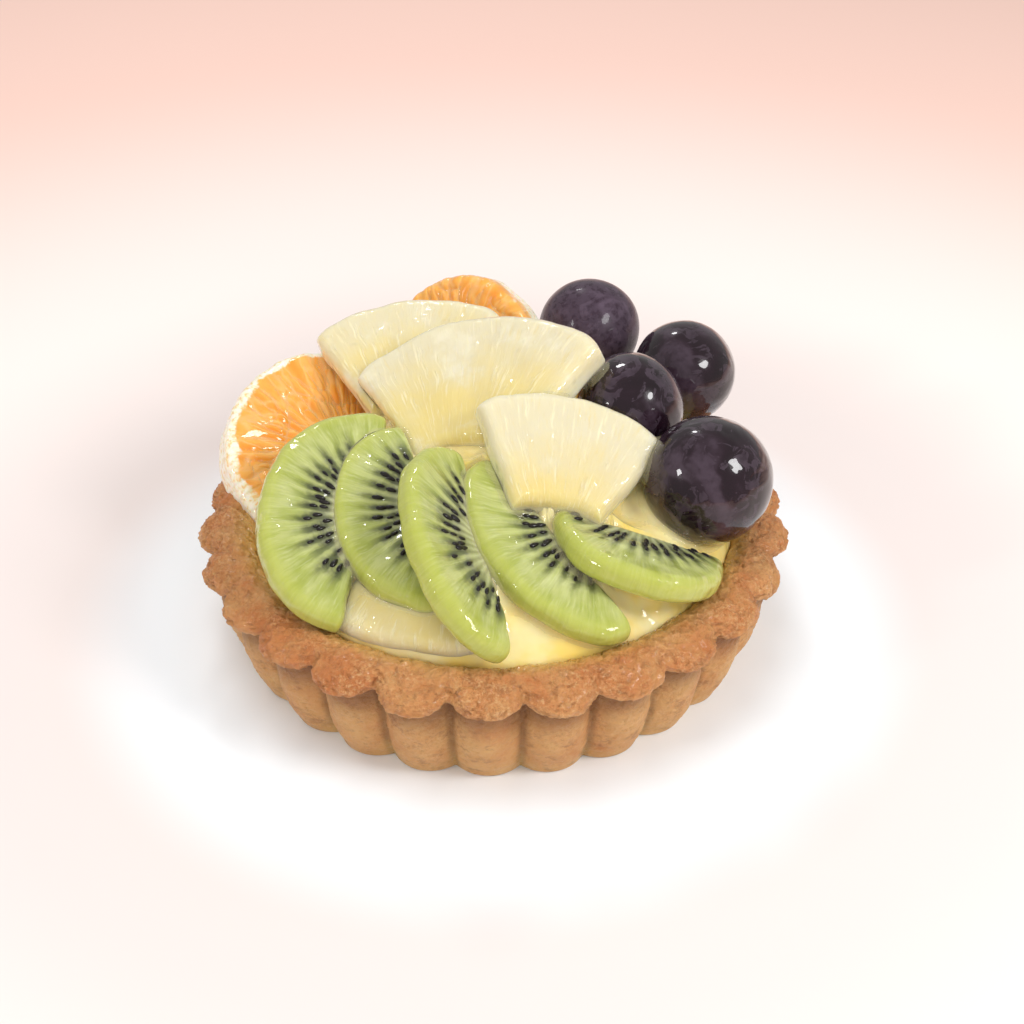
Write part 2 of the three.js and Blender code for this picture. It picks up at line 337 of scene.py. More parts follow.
# %% Crust: its section, from under the middle, up the wall, over the rim and down into the well
# radius over a flute's tip, height, share of the groove's depth, share of the unevenness, and how
# closely the points lie there
SECTION = [
    (0, 0, 0, 0, 0),
    (FOOT_RADIUS - 1.5, 0, 0.7, 0.3, 0.15),
    (FOOT_RADIUS, 1.7, 0.75, 0.4, 1),
    (FOOT_RADIUS + 3, 10.5, 0.95, 0.5, 0.8),
    (LIP_RADIUS - 2.7, LIP_HEIGHT - 3.2, 1.1, 0.6, 1),
    (LIP_RADIUS - 2.4, LIP_HEIGHT - 2.1, 1.1, 0.8, 2),
    (LIP_RADIUS - 1.0, LIP_HEIGHT - 1.7, 1, 1, 3),
    (LIP_RADIUS - 0.1, LIP_HEIGHT - 1.1, 1, 1, 3),
    (LIP_RADIUS, LIP_HEIGHT - 0.4, 1, 1, 2.5),
    (LIP_RADIUS - 0.5, LIP_HEIGHT + 0.6, 1, 1, 2),
    (LIP_RADIUS - 1.6, LIP_HEIGHT + 1.6, 0.9, 0.9, 1.6),
    (LIP_RADIUS - 3.7, CRUST_HEIGHT - 0.4, 0.5, 0.6, 1.3),
    (CREST_RADIUS, CRUST_HEIGHT, 0.15, 0.4, 1.2),
    (WELL_RADIUS + 1.4, CRUST_HEIGHT - 0.9, 0, 0.1, 1),
    (WELL_RADIUS, CUSTARD_EDGE_HEIGHT - 0.3, 0, 0, 1),
    (WELL_FOOT_RADIUS, FLOOR_THICKNESS, 0, 0, 0.3),
    (0, FLOOR_THICKNESS, 0, 0, 0.05),
]
section = np.array(SECTION, dtype=float)
paces = np.hypot(np.diff(section[:, 0]), np.diff(section[:, 1])) * section[1:, 4]
section_places = np.concatenate([[0], np.cumsum(paces)]) / paces.sum()
UNDER_LIP = [section_places[k] for k in (3, 4, 6, 7)]
print("section stations:", len(SECTION), "weighted length", round(paces.sum(), 1))


# %% Crust: the tree
FINE_GRID = {"Rows": 122, "Sectors": 31 * FLUTES + 1}


def crust_tree():
    inputs = [
        ("Flute tips", "Geometry", None),
        ("Rows", "Int", FINE_GRID["Rows"]),
        ("Sectors", "Int", FINE_GRID["Sectors"]),
        ("Flute depth", "Float", FLUTE_DEPTH),
        ("Crag height", "Float", 0.6),
        ("Ragged edge", "Float", 1.3),
    ]
    group = node_group("Fluted crust", inputs, "Crust")
    t = Tree(group, "GeometryNode")
    given = t.add("NodeGroupInput").node.outputs

    grid = {"Size X": 1.0, "Size Y": 1.0, "Vertices X": given["Rows"], "Vertices Y": given["Sectors"]}
    sheet = t.add("MeshGrid", grid)
    corner = t.add("ShaderNodeSeparateXYZ", {0: t.add("GeometryNodeInputPosition")}).node.outputs
    along = t.plus(corner[0], 0.5)
    around = t.plus(corner[1], 0.5)

    def station(column, full):
        points = [(place, value / full) for place, value in zip(section_places, section[:, column])]
        return t.times(t.curve(along, points), full)

    radius, height = station(0, 60.0), station(1, 30.0)
    groove_share, uneven_share = station(2, 1.0), station(3, 1.0)

    count = t.times(around, float(FLUTES))
    nearest = t.math("ROUND", count)
    across = t.times(t.math("ABSOLUTE", t.minus(count, nearest)), 2.0)
    groove = t.math("POWER", across, FLUTE_FULLNESS)
    tip = t.minus(1.0, groove)
    index = t.math("MODULO", nearest, float(FLUTES))

    def of_flute(name):
        value = t.add("GeometryNodeInputNamedAttribute", {"Name": name}, data_type="FLOAT")
        inputs = {"Geometry": given["Flute tips"], "Value": value, "Index": index}
        return t.add("SampleIndex", inputs, data_type="FLOAT")

    lively = t.times(uneven_share, tip)
    stray = t.times(of_flute("stray"), STRAY, lively)
    deep = t.times(given["Flute depth"], groove_share, groove)
    radius = t.plus(t.minus(radius, deep), stray)
    sag = t.minus(t.times(groove_share, tip, TIP_SAG), t.times(of_flute("droop"), DROOP, lively))
    sag = t.times(sag, t.spread(height, 12.0, 16.0))
    height = t.minus(height, sag)
    radius = t.larger(radius, 0.0)

    angle = t.times_plus(around, 2 * math.pi, math.radians(FIRST_FLUTE_DEGREES))
    x = t.times(radius, t.math("COSINE", angle))
    y = t.times(radius, t.math("SINE", angle))
    torn = t.minus(t.noise(t.add("ShaderNodeCombineXYZ", {0: x, 1: y}), 0.33, 4.0, 0.65), 0.5)
    brink = t.times(t.spread(uneven_share, 0.7, 1.0), given["Ragged edge"])
    height = t.times_plus(torn, brink, height)
    place = t.add("ShaderNodeCombineXYZ", {0: x, 1: y, 2: height})
    baked = t.add("ShaderNodeCombineXYZ", {0: along, 1: groove, 2: uneven_share})
    kept = {"Geometry": sheet, "Name": "baked", "Value": baked}
    body = t.add("StoreNamedAttribute", kept, data_type="FLOAT_VECTOR", domain="POINT")
    body = t.add("SetPosition", {"Geometry": body, "Position": place})
    body = t.add("MergeByDistance", {"Geometry": body, "Distance": 0.004})
    body = t.add("FlipFaces", {"Mesh": body})

    # crags stand up most on the lip, a little on the wall and not at all underneath
    where = t.add("GeometryNodeInputPosition")
    up = t.add("ShaderNodeSeparateXYZ", {0: where}).node.outputs[2]
    lip = t.spread(up, LIP_HEIGHT - 2.6, LIP_HEIGHT - 1.2, 0.4, 1.0)
    lip = t.times(lip, t.spread(up, 0.2, 2.5))
    broad = t.minus(t.noise(where, 0.26, 2.0, 0.5), 0.5)
    fine = t.minus(t.noise(where, 0.85, 5.0, 0.7), 0.5)
    pits = t.add("ShaderNodeTexVoronoi", {"Vector": where, "Scale": 0.55, "Randomness": 1.0})
    pit = t.times(t.minus(t.spread(pits, 0.05, 0.4), 1.0), 0.35)
    fold = t.math("ABSOLUTE", t.minus(t.noise(where, 0.22, 3.0, 0.6, 0.6), 0.5))
    crease = t.spread(fold, 0.045, 0.0, 0.0, -0.75)
    crags = t.plus(t.times_plus(broad, 2.4, t.times(fine, 2.4)), t.plus(pit, crease))
    lift = t.times(crags, given["Crag height"], lip)
    outward = t.add("GeometryNodeInputNormal")
    offset = t.add("ShaderNodeVectorMath", {0: outward, "Scale": lift}, operation="SCALE")
    body = t.add("SetPosition", {"Geometry": body, "Offset": offset})
    body = t.add("GeometryNodeTransform", {"Geometry": body, "Scale": (MM, MM, MM)})
    body = t.add("SetShadeSmooth", {"Geometry": body})
    body = t.add("SetMaterial", {"Geometry": body, "Material": crust_look()})
    end = group.nodes.new("NodeGroupOutput")
    group.links.new(body, end.inputs[0])
    return group


# %% Crust: its look
def crust_look():
    """Golden tan on the wall, browner on the lip, glazed where the filling touches it, with painted shade
    under the lip and in the wall's grooves
    """
    look = Look("Baked shortcrust")
    along, groove, _ = look.parts(look.attribute("baked"))
    where = look.where()
    side, front, up = look.parts(where)
    broad = look.noise(where, 120.0, 4.0, 0.65)
    streak = look.noise(look.vector(side, front, look.times(up, 1.6)), 240.0, 5.0, 0.7)
    grain = look.noise(where, 1500.0, 4.0, 0.8)
    lip = look.spread(up, 0.0172, 0.0212)
    patchy = look.spread(look.noise(where, 170.0, 3.0, 0.6), 0.4, 0.62, 0.15, 1.0)
    # the light grain specks are partly painted glints of the egg wash; the dark specks are the grain's own
    # colour
    grain_and_glint = look.times(look.times_plus(lip, 0.4, 0.6), patchy)
    toasted = look.times_plus(look.minus(broad, 0.5), 2.4, look.times_plus(lip, 0.55, 0.15), clamp=True)
    wall_top, wall_end, lip_start, lip_under = UNDER_LIP
    # browning under the overhanging lip, darkened further as a painted shadow of the overhang
    browning_and_shade_under_lip = look.times(look.spread(along, wall_top, wall_end), look.spread(along, lip_under, lip_start))
    wall = look.spread(up, 0.0195, 0.0175)
    reach = look.add("VectorMath", {0: look.vector(side, front)}, output="Value", operation="LENGTH")
    inside = look.spread(reach, (CREST_RADIUS + 0.8) * MM, (WELL_RADIUS + 0.5) * MM)
    dough = look.over(
        look.mix(toasted, "e6b070", "d3854b"),
        (look.spread(streak, 0.48, 0.34, 0.0, 0.5), "a86c40"),
        (look.times(look.spread(grain, 0.5, 0.64, 0.0, 0.75), grain_and_glint), "efc38c"),
        (look.times(look.spread(grain, 0.48, 0.34, 0.0, 0.5), grain_and_glint), "91592f"),
        (look.times(browning_and_shade_under_lip, 0.7), "7a4a28"),
        # painted shade in the flute grooves of the wall
        (look.times(look.spread(groove, 0.6, 1.0), look.times(wall, 0.6)), "74472a"),
        (look.times(inside, 0.75), "e9b65c"),
    )
    pits = look.add("TexVoronoi", {"Vector": where, "Scale": 900.0})
    height = look.plus(look.plus(grain, look.times(pits, 0.5)), look.times(streak, 1.8))
    return look.set(
        Base_Color=dough,
        Roughness=look.spread(inside, 0.0, 1.0, 0.5, 0.25),
        Subsurface_Weight=0.12,
        Subsurface_Radius=(1.0, 0.5, 0.25),
        Subsurface_Scale=0.001,
        Coat_Weight=look.larger(look.times(inside, 0.7), look.times(lip, 0.25)),
        Coat_Roughness=0.15,
        Normal=look.bump(height, 0.7, 1.0),
    )


# %% Crust: the piece
def build_crust():
    crust = add_object("crust_fine", flute_tips())
    grown = crust.modifiers.new("Fluted crust", "NODES")
    grown.node_group = crust_tree()
    settle(crust)
    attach(crust, "root")
    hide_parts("crust")
    return crust


crust = build_crust()
print("crust:", len(crust.data.polygons), "faces")

# %% [markdown]
# ## Slices
# A slice of fruit is a slab with rounded edges. Its points lie on rings that spread from the middle
# of the upper face over the edge to the middle of the underside, so any outline makes one closed
# skin with even squares, fine enough to carry the fruit's own relief.

# %% Slices: outlines
def half_slice(fruit, kind):
    """Half of a round slice, with its bulging cut edge along X and its arc along Y"""
    angle = np.linspace(0, 2 * np.pi, 720, endpoint=False)
    across, along = np.cos(angle), np.sin(angle)
    cut_edge = -kind["cut_bulge"] * (1 - np.abs(across) ** 5) ** 0.2
    rise = np.where(along >= 0, fruit["rise"] * along, cut_edge)
    return np.column_stack([fruit["half_length"] * across, rise])


def ring_piece(fruit, kind):
    """A piece of a ring slice round the origin, with its middle along Y and a swelling outer arc"""
    share = np.linspace(1, -1, 300)
    swelling = fruit["swell"] * np.cos(share * np.pi / 2) - kind["corner"] * np.abs(share) ** 12
    radius = np.concatenate([fruit["outer"] + swelling, np.full(120, fruit["inner"])])
    angle = np.radians(fruit["half"]) * np.concatenate([share, np.linspace(-1, 1, 120)])
    return np.column_stack([radius * np.sin(angle), radius * np.cos(angle)])


def evenly(points, spacing):
    """The same closed line with its points at even steps"""
    loop = np.vstack([points, points[:1]])
    run = np.concatenate([[0], np.cumsum(np.hypot(*np.diff(loop, axis=0).T))])
    at = np.linspace(0, run[-1], max(24, round(run[-1] / spacing)), endpoint=False)
    return np.column_stack([np.interp(at, run, loop[:, k]) for k in (0, 1)])


def eased(values, reach):
    """The values round a closed line, each averaged with its neighbours up to reach steps away"""
    return np.mean([np.roll(values, k) for k in range(-reach, reach + 1)], axis=0)


# %% Slices: the slab
def slab(outline, thickness, rounding, spacing, margin=0.0):
    """Points and faces of a rounded slab whose upper face is at height 0, grown by margin"""
    line = evenly(outline, spacing)
    ahead = np.roll(line, -1, axis=0) - np.roll(line, 1, axis=0)
    outward = np.column_stack([ahead[:, 1], -ahead[:, 0]]) / np.hypot(*ahead.T)[:, None]
    middle = line.mean(axis=0)
    caps = max(4, round(np.hypot(*(line - middle).T).mean() / spacing))
    spoke = (line - middle) / np.hypot(*(line - middle).T)[:, None]
    depth = eased(rounding / np.maximum((spoke * outward).sum(axis=1), 0.6), round(3 / spacing))
    bends = np.radians(np.linspace(0, 90, 9))[1:]
    rim = line + outward * margin
    edge = rim - spoke * depth[:, None]
    rings = [(middle + (edge - middle) * k / caps, margin) for k in range(1, caps + 1)]
    rings += [(edge + (rim - edge) * math.sin(b), margin - rounding * (1 - math.cos(b))) for b in bends]
    rings += [(rim, z) for z in np.linspace(margin - rounding, rounding - thickness - margin, 8)[1:-1]]
    under = [(ring, -thickness - z) for ring, z in rings[caps - 1 : caps + len(bends)]]
    rings += under[::-1]
    rings += [(middle + (edge - middle) * k / caps, -thickness - margin) for k in range(caps - 2, 0, -2)]
    points = [np.append(middle, margin)[None]]
    points += [np.column_stack([ring, np.full(len(ring), z)]) for ring, z in rings]
    points += [np.append(middle, -thickness - margin)[None]]
    return np.vstack(points), skin_faces(len(line), len(rings))


def placement(fruit):
    """Where a piece stands, in millimetres"""
    lean, towards, spin = (math.radians(v) for v in fruit.get("turn", (0, 0, 0)))
    turned = Matrix.Rotation(towards, 4, "Z") @ Matrix.Rotation(lean, 4, "Y") @ Matrix.Rotation(spin, 4, "Z")
    return np.array(Matrix.Translation(fruit["at"]) @ turned)


def moved(points, place):
    return points @ place[:3, :3].T + place[:3, 3]


# %% Slices: the plain form of each piece of fruit
def seed_of(name):
    return sum(ord(letter) * (k + 3) for k, letter in enumerate(name))


def plain_form(name, spacing, margin=0.0):
    """Points in the piece's own frame, and faces. Slices sag and waver a little, as cut fruit does"""
    fruit = FRUIT[name]
    if name.startswith("grape"):
        return grape_form(fruit, name, spacing, margin)
    kind = {"kiwi": KIWI, "oran": ORANGE, "pine": PINEAPPLE}[name[:4]]
    outline = ring_piece(fruit, kind) if kind is PINEAPPLE else half_slice(fruit, kind)
    points, faces = slab(outline, kind["thickness"], kind["rounding"], spacing, margin)
    flat = points * (1, 1, 0)
    points[:, 2] += 0.22 * swell(flat, 26, seed_of(name))
    points[:, 0] += 0.18 * swell(flat, 12, seed_of(name) + 1)
    points[:, 1] += 0.18 * swell(flat, 12, seed_of(name) + 2)
    return points, faces


def grape_form(fruit, name, spacing, margin):
    """A ball with shallow hollows"""
    rows = max(16, round(np.pi * fruit["radius"] / spacing))
    columns = 2 * rows
    down = np.linspace(0, np.pi, rows + 1)[1:-1]
    round_ = np.linspace(0, 2 * np.pi, columns, endpoint=False)
    a, b = np.meshgrid(down, round_, indexing="ij")
    ball = np.stack([np.sin(a) * np.cos(b), np.sin(a) * np.sin(b), np.cos(a)], axis=-1).reshape(-1, 3)
    ball = np.vstack([[0, 0, 1], ball, [0, 0, -1]])
    wave = swell(ball * fruit["radius"], 17, seed_of(name))
    points = ball * (fruit["radius"] + margin + 0.1 * wave)[:, None]
    return points, skin_faces(columns, rows - 1)


print("outline of kiwi_1:", len(evenly(half_slice(FRUIT["kiwi_1"], KIWI), SPACING)), "points a ring")

# %% [markdown]
# ## How each fruit grows
# Kiwi seeds lie on an oval round the core, and pale and dark rays run from them to the skin. An
# orange's pulp is a sheaf of juice sacs that point at its middle. Pineapple fibres run outward from
# the core. So each point of a slice keeps its bearing and its distance from the fruit's own middle,
# and the colours are drawn over those two values.

# %% Growth: bearing and distance in a slice
SEED_OVAL = (13.5, 11.0)
KIWI_RAYS = 34


def oval_reach(angle, half_width, half_height):
    return 1 / np.hypot(np.cos(angle) / half_width, np.sin(angle) / half_height)


def kiwi_growth(fruit, points):
    """Bearing round the core, share of the way to the skin, and share of the way to the seeds"""
    core = SEED_OVAL[1] - fruit["seeds"]
    x, y = points[:, 0], points[:, 1] + core
    angle, distance = np.arctan2(y, x), np.hypot(x, y)
    dx, dy = np.cos(angle), np.sin(angle)
    width, rise = fruit["half_length"], fruit["rise"]
    a = (dx / width) ** 2 + (dy / rise) ** 2
    b = -2 * core * dy / rise**2
    c = (core / rise) ** 2 - 1
    skin = (-b + np.sqrt(np.maximum(b * b - 4 * a * c, 0.01 * a))) / (2 * a)
    return np.column_stack([angle, distance / skin, distance / oval_reach(angle, *SEED_OVAL)])


def orange_growth(fruit, points):
    """Bearing round the middle, share of the way to the pith, and depth under the cut face"""
    x, y = points[:, 0], points[:, 1] + 1.0
    angle = np.arctan2(y, x)
    skin = oval_reach(angle, fruit["half_length"], fruit["rise"] + 1.0)
    return np.column_stack([angle, np.hypot(x, y) / skin / fruit["pulp"], points[:, 2]])


def pineapple_growth(fruit, points):
    """Bearing round the core, share of the way from core to rind, and depth under the cut face"""
    angle, distance = np.arctan2(points[:, 0], points[:, 1]), np.hypot(points[:, 0], points[:, 1])
    aside = np.clip(angle / np.radians(fruit["half"]), -1, 1)
    rind = fruit["outer"] + fruit["swell"] * np.cos(aside * np.pi / 2)
    share = (distance - fruit["inner"]) / (rind - fruit["inner"]) - fruit["ripe"]
    return np.column_stack([angle, share, points[:, 2]])


# %% Growth: relief
def kiwi_relief(growth, points, seed):
    """Pale rays stand a hair higher than the dark ones"""
    rays = np.cos(growth[:, 0] * KIWI_RAYS + 0.6 * swell(points, 9, seed))
    zone = np.clip((growth[:, 2] - 0.6) * 3, 0, 1) * np.clip((0.9 - growth[:, 1]) * 4, 0, 1)
    return 0.04 * rays * zone + 0.13 * swell(points, 7, seed + 1)


def orange_relief(growth, points, seed):
    """Juice sacs: long blunt bulges that run outward, split in rows"""
    along = growth[:, 1] * 3.2 + 0.5 * swell(points, 10, seed)
    row = growth[:, 0] * 24 + 1.1 * swell(points, 8, seed + 1) + np.pi * np.floor(along)
    sacs = np.abs(np.cos(row)) ** 0.7 * (1 - np.abs(2 * (along % 1) - 1) ** 3)
    pulp = np.clip((1.02 - growth[:, 1]) * 12, 0, 1) * np.clip((growth[:, 2] + 3) / 2, 0, 1)
    return (0.55 * sacs - 0.35) * pulp + 0.14 * swell(points, 6, seed + 2)


def pineapple_relief(growth, points, seed):
    """Fibres run outward with a few shallow slots between them"""
    fibres = np.cos(growth[:, 0] * 60 + 3.0 * swell(points, 12, seed))
    slots = np.clip(swell(points * (1, 1, 0.3), 5, seed + 1) - 1.1, 0, 1)
    return 0.018 * fibres - 0.2 * slots + 0.14 * swell(points, 8, seed + 2)


GROWTH = {"kiwi": kiwi_growth, "oran": orange_growth, "pine": pineapple_growth}
RELIEF = {"kiwi": kiwi_relief, "oran": orange_relief, "pine": pineapple_relief}

# %% [markdown]
# ## Looks of the fruit
# Cut fruit is moist and lets light in, so every flesh has some light scattering under its skin, and
# a clear coat stands for the glaze. The coat has its own waves, because brushed glaze is uneven.

# %% Looks: kiwi
def glaze_waves(look, depth=0.7, strength=1.0):
    """The uneven surface of brushed glaze with a few small beads, for the coat alone"""
    where = look.where()
    beads = look.spread(look.add("TexVoronoi", {"Vector": where, "Scale": 210.0}), 0.28, 0.0)
    return look.bump(look.times_plus(beads, 0.6, look.noise(where, 270.0, 1.0, 0.4)), depth, strength)


def wet_flesh(look, base, scatter, waves=0.7, **own):
    """A moist finish. scatter is how much light goes in, how far each colour gets, and its reach"""
    given = {
        "Base_Color": base,
        "Specular_IOR_Level": 0.1,
        "Subsurface_Weight": scatter[0],
        "Subsurface_Radius": scatter[1],
        "Subsurface_Scale": scatter[2],
        "Coat_Weight": 1.0,
        "Coat_Normal": glaze_waves(look, waves),
    }
    return look.set(**{**given, **own})


def kiwi_look():
    look = Look("Kiwi flesh")
    angle, skin, seeds = look.parts(look.attribute("growth"))
    where = look.where()
    blur = look.minus(look.noise(where, 300.0, 3.0), 0.5)
    turned = look.plus(look.times(angle, float(KIWI_RAYS)), look.times(blur, 4.0))
    ray = look.times_plus(look.math("COSINE", turned), 0.5, 0.5)
    bent = look.times_plus(blur, 0.5, look.times(angle, 7.0))
    streaks = look.noise(look.vector(bent, look.times(skin, 1.3)), 1.6, 3.0, 0.5)
    cloud = look.noise(where, 200.0, 3.0)
    flesh = look.mix(look.spread(look.plus(streaks, look.times(cloud, 0.7)), 0.6, 1.1), "a3ac4f", "bdc27b")
    hair_at = look.vector(look.times_plus(blur, 1.2, look.times(angle, 24.0)), look.times(skin, 2.5))
    hairs = look.noise(hair_at, 1.5, 3.0, 0.6)
    pale_hair, dark_hair = look.spread(hairs, 0.5, 0.7, 0.0, 0.4), look.spread(hairs, 0.48, 0.3, 0.0, 0.4)
    milky = look.spread(look.noise(where, 130.0, 3.0), 0.5, 0.68)
    milky = look.times(milky, look.spread(skin, 0.95, 0.7, 0.0, 0.4))
    zone = look.times(look.spread(seeds, 0.7, 0.95), look.spread(skin, 0.9, 0.55))
    near_seeds = look.times(look.spread(seeds, 0.65, 0.9), look.spread(seeds, 1.55, 1.0))
    dark = look.times(look.spread(ray, 0.6, 0.1), near_seeds)
    core = look.spread(seeds, 1.0, 0.8)
    murk = look.times(look.spread(seeds, 0.72, 0.86), look.spread(seeds, 1.28, 1.08))
    speckle = look.spread(look.noise(where, 900.0, 2.0), 0.25, 0.6, 0.45, 1.0)
    flesh = look.over(
        flesh,
        (pale_hair, "d6dba2"),
        (dark_hair, "8e9c45"),
        (milky, "dcdfa8"),
        (look.times(ray, zone, 0.4), "d3da98"),
        (look.times(dark, 0.6), "707f3c"),
        (look.times(core, 0.6), look.mix(ray, "8e8d74", "c3c6a0")),
        (look.times(murk, look.spread(ray, 0.9, 0.2, 0.1, 0.5)), "5c6246"),
        (look.times(look.attribute_value("soot"), speckle, 0.92), "2f312c"),
        (look.spread(skin, 0.82, 1.0, 0.0, 0.8), "b8bd59"),
    )
    own = dict(Roughness=0.3, Coat_Roughness=0.05, Coat_IOR=1.46)
    own["Normal"] = look.bump(look.plus(hairs, cloud), 0.25, 0.7)
    return wet_flesh(look, flesh, (0.5, (0.9, 1.0, 0.3), 0.0016), 1.1, **own)


# %% Looks: orange
def orange_look():
    look = Look("Orange pulp")
    angle, skin, depth = look.parts(look.attribute("growth"))
    where = look.where()
    drift = look.noise(where, 150.0, 2.0, output="Color")
    bend = look.add("VectorMath", {0: drift, "Scale": 0.45}, operation="SCALE")
    fan = look.vector(look.times(angle, 4.5), look.times(skin, 1.2))
    sacs_at = look.add("VectorMath", {0: fan, 1: bend}, operation="ADD")
    sacs = look.add("TexVoronoi", {"Vector": sacs_at, "Scale": 2.0})
    skins = look.add("TexVoronoi", {"Vector": sacs_at, "Scale": 2.0}, feature="DISTANCE_TO_EDGE")
    pulp = look.mix(look.spread(sacs, 0.1, 0.7), "f09a34", "f7b355")
    pulp = look.mix(look.spread(skins, 0.12, 0.0, 0.0, 0.4), pulp, "fbc88a")
    rim = look.plus(skin, look.times(look.minus(look.noise(where, 170.0, 4.0, 0.6), 0.5), 0.3))
    under = look.spread(depth, -2.6, -4.4)
    pith = look.larger(look.larger(look.spread(rim, 0.99, 1.02), look.spread(skin, 1.03, 1.06)), under)
    veins = look.noise(look.vector(look.times(angle, 8.0), look.times(depth, 0.5), skin), 3.0, 3.0, 0.6)
    cream = look.mix(look.spread(veins, 0.4, 0.6), "f3e6c2", "fbf4e2")
    cream = look.mix(look.spread(veins, 0.46, 0.36, 0.0, 0.75), cream, "efc27a")
    own = dict(Roughness=0.4, Coat_Roughness=0.06, Coat_Weight=look.spread(pith, 0.0, 1.0, 1.0, 0.5))
    own["Normal"] = look.bump(look.spread(skins, 0.0, 0.2), 0.18, 0.8)
    return wet_flesh(look, look.mix(pith, pulp, cream), (0.4, (1.0, 0.5, 0.2), 0.002), **own)


# %% Looks: pineapple
def pineapple_look():
    look = Look("Pineapple flesh")
    angle, share, depth = look.parts(look.attribute("growth"))
    where = look.where()
    sway = look.times_plus(look.noise(where, 160.0, 2.0), 1.6, look.times(angle, 30.0))
    fibres = look.noise(look.vector(sway, look.times(share, 2.0), look.times(depth, 0.3)), 1.6, 4.0, 0.6)
    strokes = look.noise(look.vector(look.times(sway, 1.4), look.times(share, 2.6)), 1.2, 3.0, 0.6)
    flesh_only = look.times(look.spread(share, 0.05, 0.3), look.spread(share, 0.95, 0.7))
    strokes = look.times(look.spread(strokes, 0.6, 0.68), flesh_only)
    cloud = look.noise(where, 90.0, 4.0, 0.6)
    pale = look.plus(share, look.times(look.minus(cloud, 0.5), 1.1))
    flesh = look.over(
        look.mix(look.spread(pale, 0.15, 1.0), "e4d18c", "dfd6b6"),
        (look.spread(cloud, 0.55, 0.7, 0.0, 0.6), "ece6cc"),
        # the sides below the upper face are paler flesh, lightened further as painted light against the shade
        # that falls on them
        (look.times(look.spread(depth, -1.0, -3.0), look.spread(cloud, 0.35, 0.6, 0.5, 1.0)), "f6efd0"),
        (look.spread(fibres, 0.54, 0.7, 0.0, 0.55), "f7eecb"),
        (look.spread(fibres, 0.44, 0.28, 0.0, 0.35), "e2cc82"),
        (look.times(strokes, 0.4), "fbf4d8"),
    )
    own = dict(Roughness=0.28, Coat_Roughness=0.04, Coat_IOR=1.42)
    own["Normal"] = look.bump(look.plus(fibres, strokes), 0.2, 0.8)
    return wet_flesh(look, flesh, (0.8, (1.0, 0.95, 0.6), 0.0035), **own)


# %% Looks: grape
def grape_look():
    """Nearly black skin with grey patches: wax that the glaze has half washed off, partly painted reflection
    and sheen of soft lamps
    """
    look = Look("Dark grape skin")
    where = look.where()
    patch = look.noise(where, 95.0, 3.0, 0.55, 0.6)
    flake = look.noise(where, 210.0, 5.0, 0.6, 1.4)
    speck = look.noise(where, 700.0, 3.0, 0.6)
    # the crisp flakes are painted reflections of soft lamps in the wavy glaze, and each grape's own share
    # adds painted sheen of the light from above, most on grape_1
    bloom = look.larger(look.spread(patch, 0.48, 0.64), look.spread(flake, 0.53, 0.57, 0.0, 0.8))
    bloom = look.larger(bloom, look.spread(look.attribute_value("bloom"), 0.5, 1.0, 0.0, 0.6))
    bloom = look.times(bloom, look.spread(speck, 0.3, 0.6, 0.5, 1.0))
    skin = look.mix(look.spread(patch, 0.3, 0.6), "170a11", "24131d")
    skin = look.mix(look.times(bloom, look.attribute_value("bloom")), skin, "5f505e")
    return look.set(
        Base_Color=skin,
        Roughness=look.spread(bloom, 0.0, 1.0, 0.18, 0.42),
        Specular_IOR_Level=0.1,
        Coat_Weight=look.spread(look.attribute_value("bloom"), 0.5, 1.0, 1.0, 0.25),
        Coat_Roughness=0.03,
        Coat_IOR=1.45,
        Coat_Normal=look.bump(look.noise(where, 120.0, 2.0, 0.45, 0.8), 1.0, 0.8),
    )


LOOKS = {"kiwi": kiwi_look(), "oran": orange_look(), "pine": pineapple_look(), "grap": grape_look()}
print("looks:", [material.name for material in LOOKS.values()])

# %% [markdown]
# ## The fruit
# Each piece is built in its own frame, given its relief, stood in place and pressed by the pieces
# that were laid on it later. The press is a boolean cut with the later piece, grown by a hair.

# %% Fruit: seeds of the kiwi slices
SEED_ROWS = ((0.8, 0.94, 1.1), (0.87, 1.02))  # on even rays and on odd ones, as shares of the oval
SEED_MISSING = 0.1
HAZE_OUT, HAZE_IN, HAZE_SIDE, HAZE_DEPTH = 2.8, 1.6, 0.9, 1.2


def seed_places(name):
    """Five staggered rows of seeds on the oval round the core, in the slice's own frame"""
    fruit = FRUIT[name]
    rng = np.random.default_rng(seed_of(name))
    core = SEED_OVAL[1] - fruit["seeds"]
    places = []
    for ray in range(KIWI_RAYS):
        angle = 2 * math.pi * (ray + 0.5) / KIWI_RAYS
        for row in SEED_ROWS[ray % 2]:
            if rng.uniform() < SEED_MISSING:
                continue
            bearing = angle + rng.normal(0, 0.04)
            reach = oval_reach(bearing, *SEED_OVAL) * (row + rng.normal(0, 0.03))
            x, y = reach * math.cos(bearing), reach * math.sin(bearing) - core
            if y > -0.6:
                places.append((x, y, bearing))
    return places


# %% Fruit: building one piece
def soot_of(points, seeds):
    """How deep in the dark haze of a seed each point of a kiwi slice lies"""
    haze = np.zeros(len(points))
    for x, y, bearing in seeds:
        dx, dy = points[:, 0] - x, points[:, 1] - y
        out = dx * math.cos(bearing) + dy * math.sin(bearing)
        side = -dx * math.sin(bearing) + dy * math.cos(bearing)
        tail = np.where(out > 0, HAZE_OUT, HAZE_IN)
        haze = np.maximum(haze, np.exp(-((out / tail) ** 2) - (side / HAZE_SIDE) ** 2))
    return haze * (points[:, 2] > -HAZE_DEPTH)


